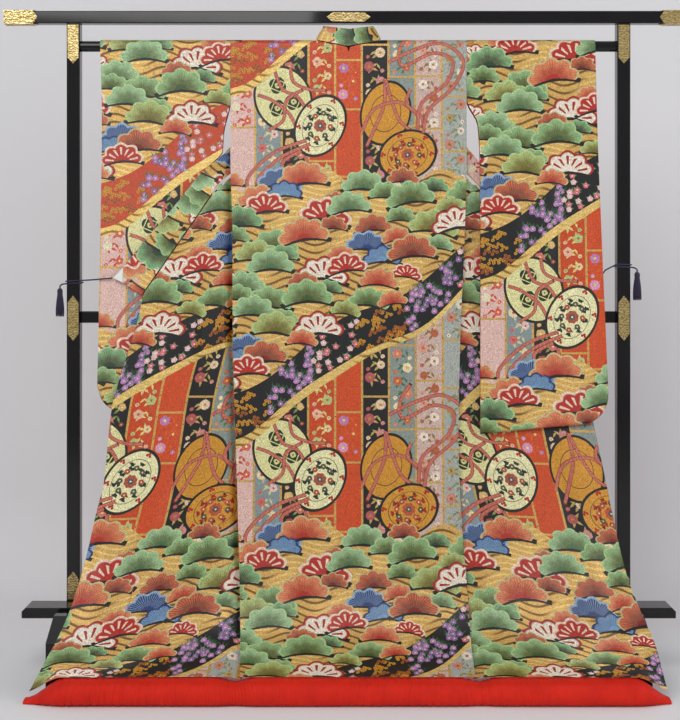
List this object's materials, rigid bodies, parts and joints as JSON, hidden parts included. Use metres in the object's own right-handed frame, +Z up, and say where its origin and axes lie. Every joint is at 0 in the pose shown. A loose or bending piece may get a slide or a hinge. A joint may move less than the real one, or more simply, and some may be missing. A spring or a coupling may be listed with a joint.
{
  "type": "uchikake wedding kimono on a kimono stand",
  "caption": "Uchikake wedding kimono of patterned brocade with a wadded red hem, spread back outwards over the bar of a black lacquered stand with brass mounts.",
  "frame": {"origin": "on the floor under the middle of the whole object's bounding box", "axes": "+X to the right across the stand seen from the garment's back, +Y away from the garment's back, +Z up"},
  "size_m": [1.8966, 0.642, 1.8148],
  "materials": {
    "brocade": "silk brocade, satin",
    "red_silk": "wadded silk",
    "purple_silk": "braided silk",
    "paper": "folded white paper",
    "lacquer": "black lacquer, semi-gloss",
    "brass": "chased, satin"
  },
  "bodies": {
    "root": {"beam_cap_left": "brass", "beam_cap_right": "brass", "beam_plate_back": "brass", "beam_plate_front": "brass", "body_left": "brocade", "body_right": "brocade", "collar": "brocade", "foot_left": "lacquer", "foot_right": "lacquer", "hanging_bar": "lacquer", "hem_roll": "red_silk", "low_rail": "lacquer", "middle_rail": "lacquer", "overlap_left": "brocade", "overlap_right": "brocade", "plate_low_back_left": "brass", "plate_low_back_right": "brass", "plate_low_front_left": "brass", "plate_low_front_right": "brass", "plate_middle_back_left": "brass", "plate_middle_back_right": "brass", "plate_middle_front_left": "brass", "plate_middle_front_right": "brass", "plate_top_back_left": "brass", "plate_top_back_right": "brass", "plate_top_front_left": "brass", "plate_top_front_right": "brass", "post_left": "lacquer", "post_right": "lacquer", "sleeve_back_left": "brocade", "sleeve_back_right": "brocade", "sleeve_front_lower_left": "brocade", "sleeve_front_lower_right": "brocade", "sleeve_front_upper_left": "brocade", "sleeve_front_upper_right": "brocade", "sleeve_top_left": "brocade", "sleeve_top_right": "brocade", "tassel_left": "purple_silk", "tassel_right": "purple_silk", "tie_left": "purple_silk", "tie_right": "purple_silk", "top_beam": "lacquer", "wrap_left": "paper", "wrap_right": "paper"}
  },
  "joints": []
}
